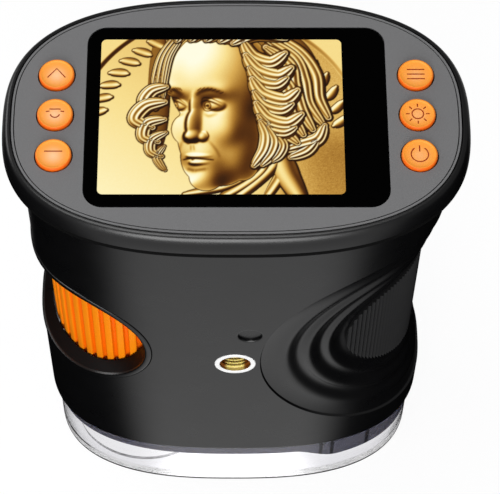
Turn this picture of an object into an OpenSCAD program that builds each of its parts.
// Hand-held digital microscope with a screen on top, a focus wheel in its side and a clear base.
// Millimetres. Z is up from the surface it stands on, -Y is the front, the oval body is centred on Z.

/* [Overall] */
// Height of the face plate's top above the surface it stands on
total_h = 106; // [103:1:112]
// Width of the face plate to each side of the screen window, where the buttons are
side_margin = 12.6; // [12.2:0.1:14]
// Depth of the face plate in front of the screen window, and behind it
front_margin = 5.25; // [5:0.05:7]
// Power of the oval outline: 2 is an ellipse and more is squarer
oval_power = 2.64; // [2.56:0.02:2.8]
// Gap round pieces that are dropped or pushed into a seat
seat_gap = 0.15; // [0.1:0.05:0.2]
// Radial gap of pieces that turn or slide on each other
run_gap = 0.08; // [0.05:0.01:0.1]

/* [Cap and face plate] */
// Thickness of the face plate
plate_t = 1.6; // [1.2:0.1:2]
// Height of the cap that carries the face plate
cap_h = 6.4; // [6:0.1:8]
// How far the cap bulges past the face plate
cap_bulge = 1.7; // [1.2:0.1:2.4]
// Width of the cap's lip round the face plate
cap_lip = 0.45; // [0.3:0.05:0.7]
// Width of the ledge under the face plate's edge
cap_ledge = 1.5; // [1.2:0.1:1.6]
// Height of the shells' lip inside the cap
shell_lip_h = 1.3; // [1:0.1:1.4]

/* [Screen] */
// Width of the screen window
window_w = 50.3; // [49.6:0.1:51]
// Depth of the screen window
window_d = 35.3; // [34.8:0.1:35.6]
// Corner radius of the screen window
window_r = 3.2; // [2.5:0.1:4]
// Width of the display panel
panel_w = 48.2; // [46:0.2:48.6]
// Depth of the display panel
panel_d = 33.4; // [32.4:0.2:33.6]
// Thickness of the display panel
panel_t = 2.3; // [1.8:0.1:2.4]
// Border of the panel to the left of the picture
border_left = 1.6; // [1.2:0.1:3]
// Border of the panel to the right of the picture, over its driver chip
border_right = 5.8; // [4:0.1:7]
// Border of the panel in front of the picture, and behind it
border_front = 1.4; // [1:0.1:2]

/* [Buttons] */
// Diameter of a button
button_d = 6; // [5.6:0.05:6.4]
// Distance of the button rows from the window's side
button_inset = 5.15; // [4.8:0.05:5.8]
// Spacing of the buttons in a row
button_pitch = 7.92; // [7.6:0.02:8.2]
// How far a button stands above the face plate
button_rise = 0.6; // [0.5:0.05:0.8]
// Travel of a button
button_travel = 0.4; // [0.3:0.05:0.5]
// Depth of the main board's top below the face
board_drop = 9; // [8.6:0.1:9.6]
// Thickness of the main board
board_t = 1.6; // [1:0.1:1.6]

/* [Body] */
// How far the body is set in from the face plate's outline
body_inset = 1.1; // [1:0.1:1.3]
// Wall of the shells
shell_wall = 2; // [1.8:0.1:2.1]
// Height of the room between the body's top and the chassis deck
head_room = 17.6; // [17:0.1:19]
// Thickness of the chassis deck
deck_t = 2; // [1.6:0.1:2.4]
// Thickness of the ribs that hold the deck and the boards
rib_t = 1.5; // [1.2:0.1:1.8]

/* [Focus window and wheel] */
// Distance of the focus wheel's rim behind the body's skin, at the left end
wheel_inset = 2.15; // [1.9:0.05:2.4]
// Radius of the window cut through the left end
window_cut_r = 15.1; // [14.6:0.1:15.6]
// Distance of the window's middle from the face plate's left edge
window_cut_inset = 6.25; // [5.5:0.05:6.8]
// Thickness of the tunnel wall round the window
tunnel_wall = 1.5; // [1.2:0.1:1.6]
// Outer radius of the focus wheel
wheel_r = 16.8; // [16.6:0.1:17]
// Height of the focus wheel
wheel_h = 36; // [35:0.5:36.6]
// Number of ribs round the focus wheel
wheel_ribs = 46; // [36:1:56]
// Depth of the grooves between the ribs
rib_depth = 0.65; // [0.4:0.05:0.8]
// Thickness of the focus wheel, from its bore to the ribs' crests
wheel_wall = 3.3; // [3.1:0.05:3.5]
// Clearance between the focus wheel and the shells
wheel_gap = 0.3; // [0.2:0.05:0.4]
// Lens travel per turn of the wheel
lens_lead = 14; // [12:0.5:15]
// Turn of the focus wheel from stop to stop, in degrees
wheel_turn = 270; // [180:10:280]

/* [Side grip] */
// Distance of the ripples' middle from the face plate's right edge
ripple_inset = 1.25; // [0:0.05:1.7]
// Distance of the ripples' middle below the body's top
ripple_drop = 43.1; // [42:0.1:45]
// Radius of the outermost ripple
ripple_r = 32; // [31:0.1:32.4]
// Spacing of the ripples
ripple_pitch = 4.85; // [4.4:0.05:5]
// Number of ripples
ripple_count = 3; // [2:1:3]
// Step down from one ripple to the next
ripple_step = 0.8; // [0.5:0.05:0.85]
// Radius of the ribbed grip
grip_r = 16.3; // [15:0.1:16.6]
// Depth of the recess that holds the ribbed grip
grip_depth = 3.8; // [3.4:0.1:3.9]
// Thickness of the ribbed grip
grip_t = 1.1; // [0.9:0.1:1.2]
// Spacing of the ribs of the grip
grip_rib_pitch = 1.1; // [1:0.1:1.5]

/* [Tripod insert] */
// Distance of the tripod insert's axis below the body's top
insert_drop = 43.6; // [42:0.1:46]
// Outer diameter of the tripod insert
insert_d = 7.5; // [7:0.1:8]
// Length of the tripod insert
insert_len = 8; // [7:0.1:8.2]
// Diameter of the insert's tapped hole, at the thread crests
insert_bore_d = 5.2; // [5:0.1:5.4]
// Diameter of the small round socket above the insert
socket_d = 4.8; // [4:0.1:5]
// Depth of the small round socket
socket_depth = 0.5; // [0.4:0.1:1]
// Place of the small round socket along X
socket_x = 2.6; // [0:0.1:3]
// Height of the small round socket above the insert
socket_rise = 11.1; // [10:0.1:12]

/* [Clear base] */
// Height of the clear base
base_h = 17.5; // [16:0.5:18]
// How far the clear base is set in from the face plate's outline
base_inset = 2.1; // [1.9:0.1:2.3]
// Wall of the clear base
base_wall = 2; // [1.6:0.1:2]
// Floor of the clear base
base_floor = 2; // [1.6:0.1:2.4]
// Radius of the viewing hole in the base's floor
view_hole_r = 15.35; // [14:0.05:15.6]
// Depth of the spigot inside the clear base
spigot_h = 1.6; // [1.4:0.1:3]
// Depth of the spigot at the right end, where its snap tabs are
spigot_tab_h = 5; // [4:0.1:6]

/* [Optics] */
// Wall of the optics tube
tube_wall = 1.82; // [1.7:0.02:1.9]
// Height of the optics tube's flange, between the focus wheel and the deck
tube_flange_h = 3.1; // [2.8:0.1:4]
// Length of the lens carrier
carrier_len = 21; // [19:0.5:22]
// Radius of the lens barrel
barrel_r = 8.3; // [8:0.1:8.4]
// Length of the lens barrel
barrel_len = 29; // [27:0.5:30]
// Radius of the cam pins
cam_pin_r = 1.15; // [1:0.05:1.2]
// Depth of the cam grooves in the wheel's bore
cam_depth = 1.3; // [1:0.05:1.4]
// Radius of the circle that the lamps stand on
lamp_ring_r = 12.9; // [12.6:0.1:13.2]
// Number of lamps
lamp_count = 8; // [6:1:10]

/* [Battery] */
// Radius of the battery cell
cell_r = 9.1; // [8.8:0.05:9.1]
// Room for the contacts at the battery cell's two ends
contact_room = 6.7; // [5:0.1:8]
// Distance of the cell's axis from the face plate's right edge
cell_inset = 20.55; // [20.4:0.05:21]
// Wall of the battery cradle
cradle_wall = 1.3; // [1:0.1:1.3]

/* [Hidden] */

$fn = 64;
oval_points = 96;
eps = 0.01;
far = 60;

// Outline of the face plate, and places along X
plate_w = window_w + 2 * side_margin;
plate_d = window_d + 2 * front_margin;
button_x = window_w / 2 + button_inset;
optic_x = plate_w / 2 - body_inset - wheel_inset - wheel_r;
window_cut_x = plate_w / 2 - window_cut_inset;
ripple_x = plate_w / 2 - ripple_inset;
cell_x = plate_w / 2 - cell_inset;

// Heights
plate_z = total_h - plate_t;
body_top_z = total_h - cap_h;
board_top_z = total_h - board_drop;
board_z = board_top_z - board_t;
deck_top_z = body_top_z - head_room;
deck_z = deck_top_z - deck_t;
cover_t = 2;
cover_top_z = base_h + cover_t;
ripple_z = body_top_z - ripple_drop;
insert_z = body_top_z - insert_drop;

// Insets from the face plate's outline
plate_gap = seat_gap / 3;
shell_inner = body_inset + shell_wall;
lip_outer = cap_ledge + seat_gap;
board_inset = shell_inner + 0.25;
rib_inner = shell_inner + 1.5;
base_inner = base_inset + base_wall;
spigot_outer = base_inner + seat_gap;
spigot_wall = 1.4;

// Screen stack
gasket_t = 0.4;
frame_t = 0.4;
frame_gap = 0.2;
panel_x = -0.4;
picture_w = panel_w - border_left - border_right;
picture_d = panel_d - 2 * border_front;
picture_x = panel_x + (border_left - border_right) / 2;
panel_z = plate_z - gasket_t - panel_t;
frame_z = panel_z - frame_t;
frame_w = panel_w + 2 * (frame_t + frame_gap);
frame_d = panel_d + 2 * (frame_t + frame_gap);
frame_r = 0.8;
flex_t = 0.2;
lcd_flex_w = 16;
lcd_flex_margin = 9;
plug_h = 1;
plug_d = 4;

// Buttons and switches
button_gap = 0.22;
flange_r = button_d / 2 + 0.4;
flange_t = 0.8;
stem_r = 1.5;
switch_gap = button_travel + 0.05;
switch_body = 4.2;
switch_h = 2;
switch_rise = 3.5;
plunger_r = 1.3;
stem_z = board_top_z + switch_rise + switch_gap;

// Charging port and memory card slot, under the main board
usb_x = 9;
usb_w = 8.94;
usb_h = 3.2;
usb_skin = 0.35;
usb_len = 7.6;
usb_y = plate_d / 2 - body_inset - 0.6 - usb_len;
usb_mid_z = board_z - usb_h / 2;
slot_x = -9;
slot_w = 14.2;
slot_h = 1.9;
slot_len = 14;
slot_y = plate_d / 2 - shell_inner - slot_len;
slot_mid_z = board_z - slot_h / 2;
card_w = 11.2;
card_h = 0.9;
port_gap = 0.3;
card_gap = 0.4;

// Chips under the main board
processor_w = 12;
memory_w = 8;
memory_d = 7;
chip_t = 1.2;
battery_plug_x = 7.3;
battery_plug_d = 5;

// Camera
camera_board_half = 9.4;
camera_board_t = 1.2;
camera_hole_r = 9;
sensor_half = 4;
sensor_t = 1.1;
camera_flex_w = 8;
camera_plug_y = -6.5;
camera_plug_d = 3;
camera_plug_h = 1.4;

// Focus wheel and optics
axial_gap = 0.2;
wheel_top_z = deck_z - tube_flange_h - axial_gap;
wheel_z = wheel_top_z - wheel_h;
window_cut_z = wheel_z + wheel_h / 2;
wheel_bore_r = wheel_r - wheel_wall;
tube_r = wheel_bore_r - run_gap;
tube_bore_r = tube_r - tube_wall;
tube_foot_z = wheel_z - 3.2;
tube_flange_r = tube_r + 1.78;
tube_foot_r = tube_r - 0.8;
retainer_h = 1.5;
retainer_r = tube_r + 2.18;
carrier_r = tube_bore_r - run_gap;
carrier_z = window_cut_z - 13.7;
pin_z = window_cut_z + 0.3;
pin_slot_gap = 0.1;
groove_gap = 0.25;
lens_travel = lens_lead * wheel_turn / 360;
pin_reach = wheel_bore_r + cam_depth - 0.3;
barrel_top_z = carrier_z + 17;
barrel_z = barrel_top_z - barrel_len;
lens_r = barrel_r - 1.1;
lens_gap = 0.05;
front_lens_z = barrel_z + 2;
front_lens_t = 3;
rear_lens_r = lens_r - 0.6;
rear_lens_z = barrel_z + 12;
rear_lens_t = 1.6;
lens_crown = 0.8;
screw_r = 0.8;
pilot_gap = 0.05;
hole_gap = 0.2;

// Lamps
led_board_z = cover_top_z + 1.5;
led_board_t = 1.2;
led_board_r = lamp_ring_r + 2.8;
led_h = 1.7;
collar_r = led_board_r + seat_gap + 0.65;
diffuser_r = lamp_ring_r + 2.2;
diffuser_z = base_h + 0.8;
diffuser_t = 0.8;
baffle_wall = 1;
baffle_r = barrel_r + 0.5 + baffle_wall;
baffle_z = base_h + 0.4;

// Screws through the shells, in pairs at the left and right
shell_screw_x = plate_w / 2 - 6.25;
shell_boss_r = 2.4;
screw_heights = [deck_top_z + 6, (cover_top_z + wheel_z) / 2];
screw_head_r = 1.9;
head_seat_y = 6;
shell_pilot_y = 7;

// Screws of the boards and the bottom cover
board_screw_x = plate_w / 2 - 17.75;
board_screw_y = plate_d / 2 - 7;
board_screw_len = 5;
board_boss_r = 2;
board_boss_h = 6;
pan_head_r = 1.6;
pan_head_h = 1.1;
cover_screw_x = 2.2;
cover_screw_y = 6.5;
cover_screw_left = [cover_screw_x, plate_d / 2 - 7.9];
cover_screw_right = [plate_w / 2 - 8.2, cover_screw_y];
web_t = 2;
cover_boss_r = 2.1;
cover_boss_h = 5;
tube_screw_r = (tube_bore_r + tube_flange_r) / 2;
tube_screw_len = 2.2;

// Battery
cradle_r = cell_r + hole_gap + cradle_wall;
cradle_end_t = 1.5;
contact_t = 0.5;
cradle_low_z = cover_top_z + cradle_end_t;
cradle_high_z = deck_z - cradle_end_t;
cell_tip_h = 0.8;
cell_tip_r = 3;
contact_r = 6;
contact_tip_r = 2.5;
cell_len = cradle_high_z - cradle_low_z - contact_room - cell_tip_h;
cell_z = cradle_low_z + contact_room / 2;

// ---------- The oval outline ----------

function signed_pow(v, p) = sign(v) * pow(abs(v), p);
function oval_point(t) = [
    plate_w / 2 * signed_pow(cos(t), 2 / oval_power),
    plate_d / 2 * signed_pow(sin(t), 2 / oval_power)];
function oval_slope(t) = [
    signed_pow(cos(t), 2 - 2 / oval_power) / plate_w,
    signed_pow(sin(t), 2 - 2 / oval_power) / plate_d];
function oval_normal(t) = oval_slope(t) / norm(oval_slope(t));
function oval_ring(grow) = [for (i = [0:oval_points - 1])
    let (t = 360 * i / oval_points) oval_point(t) + grow * oval_normal(t)];

module oval_prism(grow, z0, z1) {
    translate([0, 0, z0]) linear_extrude(z1 - z0) polygon(oval_ring(grow));
}

module oval_tube(outer, inner, z0, z1) {
    difference() {
        oval_prism(-outer, z0, z1);
        oval_prism(-inner, z0 - 1, z1 + 1);
    }
}

// A closed solid whose outline grows and shrinks with height; rings are [grow, z] from the bottom up.
module oval_loft(rings) {
    n = oval_points;
    points = [for (ring = rings) for (p = oval_ring(ring[0])) [p[0], p[1], ring[1]]];
    sides = [for (k = [0:len(rings) - 2]) for (i = [0:n - 1])
        let (a = k * n + i, b = k * n + (i + 1) % n) each [[a, a + n, b], [b, a + n, b + n]]];
    bottom = [for (i = [0:n - 1]) i];
    top = [for (i = [n - 1:-1:0]) (len(rings) - 1) * n + i];
    polyhedron(points, concat([bottom], sides, [top]), convexity = 6);
}

// ---------- Small helpers ----------

function round_rect(w, d, r) = [for (c = [[1, 1, 0], [-1, 1, 90], [-1, -1, 180], [1, -1, 270]])
    for (k = [0:6]) let (a = c[2] + 15 * k)
        [c[0] * (w / 2 - r) + r * cos(a), c[1] * (d / 2 - r) + r * sin(a)]];

module slab(w, d, r, h) linear_extrude(h) polygon(round_rect(w, d, r));

module disc(r, z0, z1) translate([0, 0, z0]) cylinder(r = r, h = z1 - z0);

module ring(outer, inner, z0, z1) {
    difference() {
        disc(outer, z0, z1);
        disc(inner, z0 - 1, z1 + 1);
    }
}

module at_optic_axis() translate([-optic_x, 0, 0]) children();

// A cylinder along Y, from y0 to y1
module rod_y(x, z, r, y0, y1) translate([x, y1, z]) rotate([90, 0, 0]) cylinder(r = r, h = y1 - y0);

module block(x0, x1, y0, y1, z0, z1) translate([x0, y0, z0]) cube([x1 - x0, y1 - y0, z1 - z0]);

// A square block on the Z axis, from z0 to z1
module square_block(half, z0, z1) block(-half, half, -half, half, z0, z1);

// The half of space that the front (-1) or the rear (1) shell is in
module side_of(side) block(-far, far, side < 0 ? -far : 0, side < 0 ? 0 : far, -far, 3 * far);

// ---------- Cap, plate and screen ----------

// The cap's side, from its foot up: how far out of the face plate's outline, and the share of its height
cap_side = [[0.4 - body_inset, 0], [cap_lip, 0.055], [0.78 * cap_bulge, 0.18], [0.98 * cap_bulge, 0.34],
    [cap_bulge, 0.5], [0.9 * cap_bulge, 0.69], [0.7 * cap_bulge, 0.84], [cap_lip + 0.3, 0.95], [cap_lip, 1]];

module top_cap() {
    color([0.07, 0.07, 0.07])
    difference() {
        oval_loft([for (p = cap_side) [p[0], body_top_z + p[1] * cap_h]]);
        oval_prism(plate_gap, plate_z, total_h + 1);
        oval_prism(-cap_ledge, body_top_z - 1, plate_z + 1);
    }
}

module button_places() {
    for (x = [-button_x, button_x]) for (k = [-1:1]) translate([x, k * button_pitch, 0]) children();
}

module face_plate() {
    color([0.44, 0.44, 0.45])
    difference() {
        oval_prism(0, plate_z, total_h);
        translate([0, 0, plate_z - 1])
            slab(window_w + 2 * seat_gap, window_d + 2 * seat_gap, window_r + seat_gap, plate_t + 2);
        button_places() disc(button_d / 2 + button_gap, plate_z - 1, total_h + 1);
    }
}

module screen_window() {
    color([0.02, 0.02, 0.02])
    translate([0, 0, plate_z]) slab(window_w, window_d, window_r, plate_t);
}

module screen_gasket() {
    color([0.15, 0.15, 0.15])
    translate([panel_x, 0, plate_z - gasket_t])
    difference() {
        slab(frame_w, frame_d, frame_r, gasket_t);
        translate([picture_x - panel_x, 0, -1]) slab(picture_w + 0.6, picture_d + 0.6, 0.4, gasket_t + 2);
    }
}

module lcd_panel() {
    color([0.85, 0.66, 0.25])
    translate([panel_x, 0, panel_z]) slab(panel_w, panel_d, 0.3, panel_t);
}

module lcd_frame() {
    color([0.75, 0.75, 0.76])
    translate([panel_x, 0, frame_z])
    difference() {
        slab(frame_w, frame_d, frame_r, frame_t + panel_t);
        translate([0, 0, frame_t]) slab(panel_w + 2 * frame_gap, panel_d + 2 * frame_gap, 0.4, panel_t + 1);
    }
}

// The display's flat lead, from the frame's underside down to its connector on the main board
module lcd_flex() {
    drop = frame_z - board_top_z;
    half = lcd_flex_w / 2;
    color([0.75, 0.45, 0.15])
    translate([panel_x, -plate_d / 2 + lcd_flex_margin, board_top_z])
    union() {
        block(-half, half, -flex_t, lcd_flex_margin - 2, drop - flex_t, drop);
        block(-half, half, -flex_t, 0, plug_h, drop);
        block(-half, half, -flex_t, plug_d - plug_h, plug_h, plug_h + flex_t);
        block(-half - plug_h, half + plug_h, 3 * flex_t, 3 * flex_t + plug_d, 0, plug_h);
    }
}

// ---------- Buttons and main board ----------

module button(column, row) {
    r = button_d / 2;
    top = total_h + button_rise;
    flange_top = plate_z - seat_gap;
    color([1, 0.56, 0.13])
    translate([column * button_x, row * button_pitch, 0]) rotate_extrude()
        polygon([[0, stem_z], [stem_r, stem_z], [stem_r, flange_top - flange_t],
            [flange_r, flange_top - flange_t], [flange_r, flange_top], [r, flange_top],
            [r, top - 0.3], [r - 0.12, top - 0.08], [r - 0.35, top], [r - 0.6, top - 0.06],
            [r - 0.85, top - 0.25], [r - 1.6, top - 0.32], [0, top - 0.36]]);
}

module tact_switches() {
    color([0.2, 0.2, 0.2])
    button_places() union() {
        square_block(switch_body / 2, board_top_z, board_top_z + switch_h);
        disc(plunger_r, board_top_z + switch_h - eps, board_top_z + switch_rise);
    }
}

module board_screw_places() {
    for (x = [-1, 1]) for (y = [-1, 1]) translate([x * board_screw_x, y * board_screw_y, 0]) children();
}

module main_board() {
    color([0.05, 0.3, 0.14])
    difference() {
        oval_prism(-board_inset, board_z, board_top_z);
        board_screw_places() disc(screw_r + hole_gap, board_z - 1, board_top_z + 1);
    }
}

// A chip or a connector under the main board
module chip(x, y, w, d, h) block(x - w / 2, x + w / 2, y - d / 2, y + d / 2, board_z - h, board_z);

module board_chips() {
    color([0.08, 0.08, 0.08])
    union() {
        chip(0, -1, processor_w, processor_w, chip_t);
        chip(processor_w + 1, -0.5, memory_w, memory_d, chip_t);
        chip(-optic_x, camera_plug_y, camera_flex_w, camera_plug_d, camera_plug_h);
        chip(cell_x + battery_plug_x, battery_plug_d, battery_plug_d, battery_plug_d, battery_plug_d);
    }
}

module board_screws() {
    color([0.7, 0.7, 0.72])
    board_screw_places() union() {
        disc(pan_head_r, board_top_z, board_top_z + pan_head_h);
        disc(screw_r, board_top_z - board_screw_len, board_top_z + eps);
    }
}

module usb_outline(grow, length) {
    rotate([90, 0, 180]) linear_extrude(length)
        polygon(round_rect(usb_w + 2 * grow, usb_h + 2 * grow, (usb_h + 2 * grow) / 2 - 0.05));
}

module usb_port() {
    color([0.78, 0.78, 0.8])
    translate([usb_x, usb_y, usb_mid_z]) union() {
        difference() {
            usb_outline(0, usb_len);
            translate([0, 1.2, 0]) usb_outline(-usb_skin, usb_len);
        }
        block(-3.3, 3.3, 1, usb_len - 1.2, -0.35, 0.35);
    }
}

module card_slot() {
    color([0.78, 0.78, 0.8])
    difference() {
        block(slot_x - slot_w / 2, slot_x + slot_w / 2, slot_y, slot_y + slot_len, board_z - slot_h, board_z);
        block(slot_x - card_w / 2, slot_x + card_w / 2, slot_y + 1, slot_y + slot_len + 1,
            slot_mid_z - card_h / 2, slot_mid_z + card_h / 2);
    }
}

// ---------- Shells ----------

module ripple_rod(r) rod_y(ripple_x, ripple_z, r, -far, far);

// The body's outline, set in by inset, with the ripples and the grip's recess cut back behind it
module rippled_body(inset, spread, z0, z1) {
    difference() {
        oval_prism(-inset, z0, z1);
        for (k = [0:ripple_count - 1]) difference() {
            ripple_rod(ripple_r - k * ripple_pitch + spread);
            oval_prism(-inset - (k + 1) * ripple_step, z0 - 1, z1 + 1);
        }
        difference() {
            ripple_rod(grip_r + spread);
            oval_prism(-inset - grip_depth, z0 - 1, z1 + 1);
        }
    }
}

// The wall of the tunnel that leads from the body's skin in to the focus wheel
module window_tunnel() {
    difference() {
        intersection() {
            oval_prism(-body_inset - shell_wall / 2, base_h, body_top_z);
            rod_y(-window_cut_x, window_cut_z, window_cut_r + tunnel_wall, -far, far);
        }
        block(-window_cut_r, far, -far, far, 0, 2 * far);
        block(-optic_x, far, -wheel_r + 1, wheel_r - 1, 0, 2 * far);
    }
}

module shell_screw_places() {
    for (x = [-shell_screw_x, shell_screw_x]) for (z = screw_heights) translate([x, 0, z]) children();
}

module rod_at(r, y0, y1) rod_y(0, 0, r, y0, y1);

module cover_screw_places() {
    for (y = [-1, 1]) {
        translate([cover_screw_left[0], y * cover_screw_left[1], 0]) children();
        translate([cover_screw_right[0], y * cover_screw_right[1], 0]) children();
    }
}

module cover_bosses() {
    z1 = cover_top_z + cover_boss_h;
    left = cover_screw_left;
    right = cover_screw_right;
    cover_screw_places() disc(cover_boss_r, cover_top_z, z1);
    block(left[0] - web_t / 2, left[0] + web_t / 2, left[1], plate_d / 2, cover_top_z, z1);
    block(left[0] - web_t / 2, left[0] + web_t / 2, -plate_d / 2, -left[1], cover_top_z, z1);
    for (y = [-1, 1])
        block(right[0], plate_w / 2, y * right[1] - web_t / 2, y * right[1] + web_t / 2, cover_top_z, z1);
}

module shell_ribs() {
    oval_tube(shell_inner - 0.5, rib_inner, deck_z - rib_t, deck_z);
    oval_tube(shell_inner - 0.5, rib_inner, deck_top_z, deck_top_z + rib_t);
    oval_tube(shell_inner - 0.5, rib_inner, board_z - rib_t, board_z);
    oval_tube(shell_inner - 0.5, rib_inner, cover_top_z, cover_top_z + rib_t);
    board_screw_places() disc(board_boss_r, board_z - board_boss_h, board_z);
    cover_bosses();
}

module shell_openings() {
    rod_y(-window_cut_x, window_cut_z, window_cut_r, -far, far);
    at_optic_axis() disc(wheel_r + wheel_gap, wheel_z - wheel_gap, wheel_top_z + wheel_gap);
    at_optic_axis() disc(collar_r + seat_gap, cover_top_z - 1, led_board_z + led_board_t + 1.5);
    at_optic_axis() disc(tube_flange_r + seat_gap, wheel_top_z, deck_z);
    board_screw_places() disc(screw_r + pilot_gap, board_z - board_boss_h + 0.5, board_z + 1);
    cover_screw_places() disc(screw_r + pilot_gap, base_h, cover_top_z + cover_boss_h - 0.6);
    button_places() square_block(switch_body / 2 + seat_gap, board_top_z, body_top_z + shell_lip_h + 1);
}

module shell_half(side) {
    difference() {
        intersection() {
            union() {
                difference() {
                    union() {
                        rippled_body(body_inset, 0, base_h, body_top_z);
                        oval_prism(-lip_outer, body_top_z - 1, body_top_z + shell_lip_h);
                    }
                    rippled_body(shell_inner, shell_wall, base_h - 1, body_top_z + shell_lip_h + 1);
                }
                intersection() {
                    union() {
                        shell_ribs();
                        shell_screw_places() rod_at(shell_boss_r, -far, far);
                    }
                    rippled_body(body_inset + shell_wall / 2, 0, base_h + 1, body_top_z);
                }
                window_tunnel();
            }
            side_of(side);
        }
        shell_openings();
    }
}

module front_shell() {
    face_y = -plate_d / 2 + body_inset;
    boss_r = insert_d / 2 + 1.6;
    color([0.12, 0.12, 0.12])
    difference() {
        union() {
            shell_half(-1);
            rod_y(0, insert_z, boss_r, face_y + shell_wall / 2, face_y + insert_len + 0.8);
        }
        rod_y(0, insert_z, insert_d / 2 + 0.05, face_y - 1, face_y + insert_len);
        rod_y(socket_x, insert_z + socket_rise, socket_d / 2, face_y - 1, face_y + socket_depth);
        shell_screw_places() rod_at(screw_r + pilot_gap, -shell_pilot_y, 1);
    }
}

// The room behind the rear wall for a port that hangs under the main board
module port_room(x, w, y, h) {
    half = w / 2 + port_gap;
    block(x - half, x + half, y - 1, plate_d / 2 - shell_inner, board_z - h - port_gap, board_z);
}

module rear_shell() {
    color([0.12, 0.12, 0.12])
    difference() {
        shell_half(1);
        shell_screw_places() {
            rod_at(screw_r + hole_gap, -1, far);
            rod_at(screw_head_r + hole_gap, head_seat_y, far);
        }
        translate([usb_x, usb_y - 1, usb_mid_z]) usb_outline(seat_gap, usb_len + 8);
        port_room(usb_x, usb_w, usb_y, usb_h);
        port_room(slot_x, slot_w, slot_y, slot_h);
        block(slot_x - card_w / 2 - card_gap, slot_x + card_w / 2 + card_gap, slot_y, plate_d / 2 + 1,
            slot_mid_z - card_h / 2 - card_gap, slot_mid_z + card_h / 2 + card_gap);
    }
}

module shell_screws() {
    color([0.7, 0.7, 0.72])
    shell_screw_places() union() {
        rod_at(screw_head_r, head_seat_y, head_seat_y + 1.4);
        rod_at(screw_r, 0.5 - shell_pilot_y, head_seat_y + eps);
    }
}

// The grip is a curved plate with upright ribs, held in the innermost recess
module side_grip() {
    back = body_inset + grip_depth;
    grip_rib_h = 0.45;
    grip_points = round(2 * (plate_w + plate_d) * 0.87 / grip_rib_pitch) * 2;
    function grip_ring() = [for (i = [0:grip_points - 1])
        let (t = 360 * i / grip_points, out = back - grip_t + (i % 2) * grip_rib_h)
            oval_point(t) - out * oval_normal(t)];
    color([0.1, 0.1, 0.1])
    difference() {
        intersection() {
            translate([0, 0, ripple_z - grip_r]) linear_extrude(2 * grip_r) polygon(grip_ring());
            ripple_rod(grip_r - seat_gap);
        }
        oval_prism(-back + 0.02, 0, 2 * far);
    }
}

module tripod_insert() {
    face_y = -plate_d / 2 + body_inset;
    color([0.83, 0.65, 0.25])
    difference() {
        rod_y(0, insert_z, insert_d / 2, face_y, face_y + insert_len);
        rod_y(0, insert_z, insert_bore_d / 2, face_y - 1, face_y + insert_len - 1);
        translate([0, face_y - eps, insert_z]) rotate([-90, 0, 0])
            cylinder(r1 = insert_bore_d / 2 + 0.4, r2 = insert_bore_d / 2, h = 0.4);
    }
}

// ---------- Deck, camera and optics ----------

// Places round the optical axis
module tube_screw_places() for (a = [60, 180, 300]) rotate(a) translate([tube_screw_r, 0, 0]) children();

module chassis_deck() {
    color([0.2, 0.2, 0.2])
    difference() {
        rippled_body(shell_inner + seat_gap, shell_wall + seat_gap, deck_z, deck_top_z);
        at_optic_axis() {
            disc(camera_hole_r, deck_z - 1, deck_top_z + 1);
            tube_screw_places() disc(screw_r + hole_gap, deck_z - 1, deck_top_z + 1);
        }
        block(cell_x + 4.8, cell_x + 12.8, 7, 11, deck_z - 1, deck_top_z + 1);
    }
}

module camera_board() {
    color([0.05, 0.3, 0.14])
    at_optic_axis() square_block(camera_board_half, deck_top_z, deck_top_z + camera_board_t);
}

module image_sensor() {
    color([0.3, 0.3, 0.34])
    at_optic_axis() square_block(sensor_half, deck_top_z - sensor_t, deck_top_z);
}

// The camera's flat lead, from its board up and into its connector under the main board
module camera_flex() {
    low = deck_top_z + camera_board_t;
    high = board_z - camera_plug_h / 2;
    half = camera_flex_w / 2;
    plug_front = camera_plug_y - camera_plug_d / 2;
    color([0.75, 0.45, 0.15])
    at_optic_axis() union() {
        block(-half, half, plug_front - 1, plug_front + 5, low, low + flex_t);
        block(-half, half, plug_front - 1, plug_front - 1 + flex_t, low, high);
        block(-half, half, plug_front - 1, plug_front, high - flex_t, high);
    }
}

module optics_tube() {
    slot_reach = lens_travel / 2 + cam_pin_r + 0.3;
    pin_slot_half = cam_pin_r + pin_slot_gap;
    color([0.1, 0.1, 0.1])
    at_optic_axis() difference() {
        union() {
            disc(tube_r, wheel_z - axial_gap, deck_z);
            disc(tube_foot_r, tube_foot_z, wheel_z);
            disc(tube_flange_r, wheel_top_z + axial_gap, deck_z);
        }
        disc(tube_bore_r, tube_foot_z - 1, deck_z + 1);
        block(-pin_slot_half, pin_slot_half, -far, far, pin_z - slot_reach, pin_z + slot_reach);
        tube_screw_places() disc(screw_r + pilot_gap, deck_z - tube_screw_len - 0.4, deck_z + 1);
    }
}

module tube_screws() {
    color([0.7, 0.7, 0.72])
    at_optic_axis() tube_screw_places() union() {
        disc(1.35, deck_top_z, deck_top_z + 1);
        disc(screw_r, deck_z - tube_screw_len, deck_top_z + eps);
    }
}

// A cam groove: a square channel that climbs round the wheel's bore, past both ends of the pins' path
module cam_groove(start) {
    steps = 28;
    spare = 10;
    half = cam_pin_r + groove_gap;
    sweep = wheel_turn + 2 * spare;
    section = [[wheel_bore_r - 1, -half], [wheel_bore_r + cam_depth, -half],
        [wheel_bore_r + cam_depth, half], [wheel_bore_r - 1, half]];
    points = [for (i = [0:steps]) let (a = sweep * (i / steps - 0.5), z = pin_z - lens_lead * a / 360)
        for (s = section) [s[0] * cos(start + a), s[0] * sin(start + a), z + s[1]]];
    sides = [for (i = [0:steps - 1]) for (k = [0:3])
        let (a = 4 * i + k, b = 4 * i + (k + 1) % 4) each [[a, b, a + 4], [b, b + 4, a + 4]]];
    polyhedron(points, concat([[3, 2, 1, 0]], sides, [[for (k = [0:3]) 4 * steps + k]]), convexity = 6);
}

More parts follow.
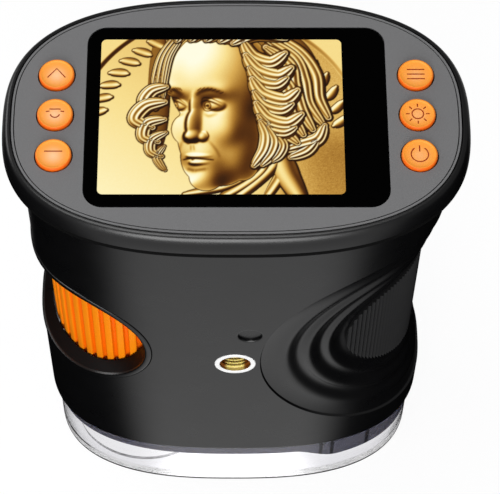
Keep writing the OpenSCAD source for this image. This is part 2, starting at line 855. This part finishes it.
module focus_wheel() {
    step = 360 / wheel_ribs;
    low = wheel_r - rib_depth;
    rib = [[low, -0.28], [wheel_r, -0.22], [wheel_r, 0.22], [low, 0.28]];
    outline = [for (i = [0:wheel_ribs - 1]) for (p = rib)
        let (a = (i + p[1]) * step) [p[0] * cos(a), p[0] * sin(a)]];
    color([1, 0.55, 0.1])
    at_optic_axis() difference() {
        translate([0, 0, wheel_z]) linear_extrude(wheel_h) polygon(outline);
        disc(wheel_bore_r, wheel_z - 1, wheel_top_z + 1);
        for (start = [90, 270]) cam_groove(start);
    }
}

module wheel_retainer() {
    top = wheel_z - axial_gap;
    color([0.15, 0.15, 0.15])
    at_optic_axis() ring(retainer_r, tube_foot_r + 0.05, top - retainer_h, top);
}

module lens_carrier() {
    color([0.13, 0.13, 0.13])
    at_optic_axis() difference() {
        disc(carrier_r, carrier_z, carrier_z + carrier_len);
        disc(barrel_r + lens_gap, carrier_z - 1, carrier_z + carrier_len + 1);
        rod_y(0, pin_z, cam_pin_r + 0.02, -far, far);
    }
}

module cam_pins() {
    color([0.72, 0.72, 0.74])
    at_optic_axis() {
        rod_y(0, pin_z, cam_pin_r, -pin_reach, -barrel_r - 0.1);
        rod_y(0, pin_z, cam_pin_r, barrel_r + 0.1, pin_reach);
    }
}

module lens_barrel() {
    color([0.08, 0.08, 0.08])
    at_optic_axis() difference() {
        disc(barrel_r, barrel_z, barrel_top_z);
        disc(lens_r + lens_gap, barrel_z - 1, front_lens_z + front_lens_t + 0.9);
        disc(lens_r - 1.2, barrel_z, rear_lens_z);
        disc(rear_lens_r + lens_gap, rear_lens_z, barrel_top_z + 1);
    }
}

// A lens with one bulging face and one flat face, its flat face at z
module lens(r, z, edge, crown) {
    big = (r * r + crown * crown) / (2 * crown);
    bulge = [for (k = [0:6]) let (x = r * (1 - k / 6)) [x, z + edge + crown - big + sqrt(big * big - x * x)]];
    rotate_extrude() polygon(concat([[0, z], [r, z]], bulge));
}

module lens_elements() {
    color([0.75, 0.85, 0.9, 0.4])
    at_optic_axis() {
        lens(lens_r, front_lens_z, front_lens_t, lens_crown);
        lens(rear_lens_r, rear_lens_z, rear_lens_t, lens_crown);
    }
}

module lens_retainer() {
    color([0.12, 0.12, 0.12])
    at_optic_axis() ring(lens_r, lens_r - 1.4, front_lens_z - 1.6, front_lens_z);
}

// ---------- Lamps and bottom cover ----------

module light_baffle() {
    top = tube_foot_z - 0.5;
    color([0.08, 0.08, 0.08])
    at_optic_axis() difference() {
        union() {
            disc(baffle_r, baffle_z, top);
            disc(baffle_r + 3, led_board_z + led_board_t, led_board_z + led_board_t + 1);
        }
        disc(baffle_r - baffle_wall - 0.8, baffle_z - 1, top);
        disc(baffle_r - baffle_wall, baffle_z + 0.6, top + 1);
    }
}

module cover_glass() {
    color([0.8, 0.9, 0.95, 0.3])
    at_optic_axis() disc(baffle_r - baffle_wall - 0.1, baffle_z + 0.6, baffle_z + 1.6);
}

module led_board() {
    color([0.9, 0.9, 0.88])
    at_optic_axis() ring(led_board_r, baffle_r + seat_gap, led_board_z, led_board_z + led_board_t);
}

module leds() {
    color([1, 0.95, 0.6])
    at_optic_axis() for (i = [0:lamp_count - 1]) rotate(360 * (i + 0.5) / lamp_count)
        translate([lamp_ring_r - 1.4, -1.75, led_board_z - led_h]) cube([2.8, 3.5, led_h]);
}

module light_diffuser() {
    color([0.95, 0.95, 0.95, 0.6])
    at_optic_axis() ring(diffuser_r, baffle_r + seat_gap, diffuser_z, diffuser_z + diffuser_t);
}

module bottom_cover() {
    color([0.14, 0.14, 0.15])
    difference() {
        union() {
            oval_prism(-shell_inner - seat_gap, base_h, cover_top_z);
            oval_tube(spigot_outer, spigot_outer + spigot_wall, base_h - spigot_h, base_h + 1);
            intersection() {
                oval_tube(spigot_outer, spigot_outer + spigot_wall, base_h - spigot_tab_h, base_h + 1);
                block(plate_w / 4, far, -far, far, 0, far);
            }
            at_optic_axis() disc(collar_r, base_h + eps, led_board_z + led_board_t);
        }
        at_optic_axis() {
            disc(diffuser_r - 0.6, base_h - 1, diffuser_z + 1);
            disc(diffuser_r + seat_gap, diffuser_z, led_board_z + 1);
            disc(led_board_r + seat_gap, led_board_z, led_board_z + led_board_t + 1);
        }
        cover_screw_places() {
            disc(screw_r + hole_gap, base_h - 1, cover_top_z + 1);
            disc(pan_head_r + seat_gap, base_h - 1, base_h + pan_head_h);
        }
    }
}

module cover_screws() {
    color([0.7, 0.7, 0.72])
    cover_screw_places() union() {
        disc(pan_head_r, base_h, base_h + pan_head_h);
        disc(screw_r, base_h + pan_head_h - eps, cover_top_z + cover_boss_h - 1);
    }
}

// ---------- Battery and base ----------

module battery_cell() {
    color([0.2, 0.4, 0.7])
    translate([cell_x, 0, 0]) union() {
        disc(cell_r, cell_z, cell_z + cell_len);
        disc(cell_tip_r, cell_z + cell_len - eps, cell_z + cell_len + cell_tip_h);
    }
}

module battery_cradle() {
    color([0.2, 0.2, 0.2])
    translate([cell_x, 0, 0]) difference() {
        disc(cradle_r, cover_top_z, deck_z);
        disc(cradle_r - cradle_wall, cradle_low_z, cradle_high_z);
        block(-6.5, 6.5, -far, 0, cover_top_z + 6, deck_z - 6);
        disc(1.5, cover_top_z - 1, deck_z + 1);
    }
}

module battery_contacts() {
    cone_z = cradle_low_z + contact_t - eps;
    color([0.8, 0.75, 0.6])
    translate([cell_x, 0, 0]) {
        union() {
            disc(contact_r, cradle_low_z, cradle_low_z + contact_t);
            translate([0, 0, cone_z]) cylinder(r1 = contact_r - 1, r2 = contact_tip_r, h = cell_z - cone_z);
        }
        union() {
            disc(contact_r, cradle_high_z - contact_t, cradle_high_z);
            disc(contact_tip_r, cell_z + cell_len + cell_tip_h, cradle_high_z - contact_t + eps);
        }
    }
}

module clear_base() {
    color([0.85, 0.9, 0.95, 0.3])
    difference() {
        oval_prism(-base_inset, 0, base_h);
        oval_prism(-base_inner, base_floor, base_h + 1);
        at_optic_axis() disc(view_hole_r, -1, base_floor + 1);
    }
}

top_cap();
face_plate();
screen_window();
screen_gasket();
lcd_panel();
lcd_frame();
lcd_flex();
button(-1, 1);  // button_up
button(-1, 0);  // button_capture
button(-1, -1);  // button_down
button(1, 1);  // button_menu
button(1, 0);  // button_light
button(1, -1);  // button_power
tact_switches();
main_board();
board_chips();
board_screws();
usb_port();
card_slot();
front_shell();
rear_shell();
shell_screws();
side_grip();
tripod_insert();
chassis_deck();
camera_board();
image_sensor();
camera_flex();
optics_tube();
tube_screws();
focus_wheel();
wheel_retainer();
lens_carrier();
cam_pins();
lens_barrel();
lens_elements();
lens_retainer();
light_baffle();
cover_glass();
led_board();
leds();
light_diffuser();
bottom_cover();
cover_screws();
battery_cell();
battery_cradle();
battery_contacts();
clear_base();
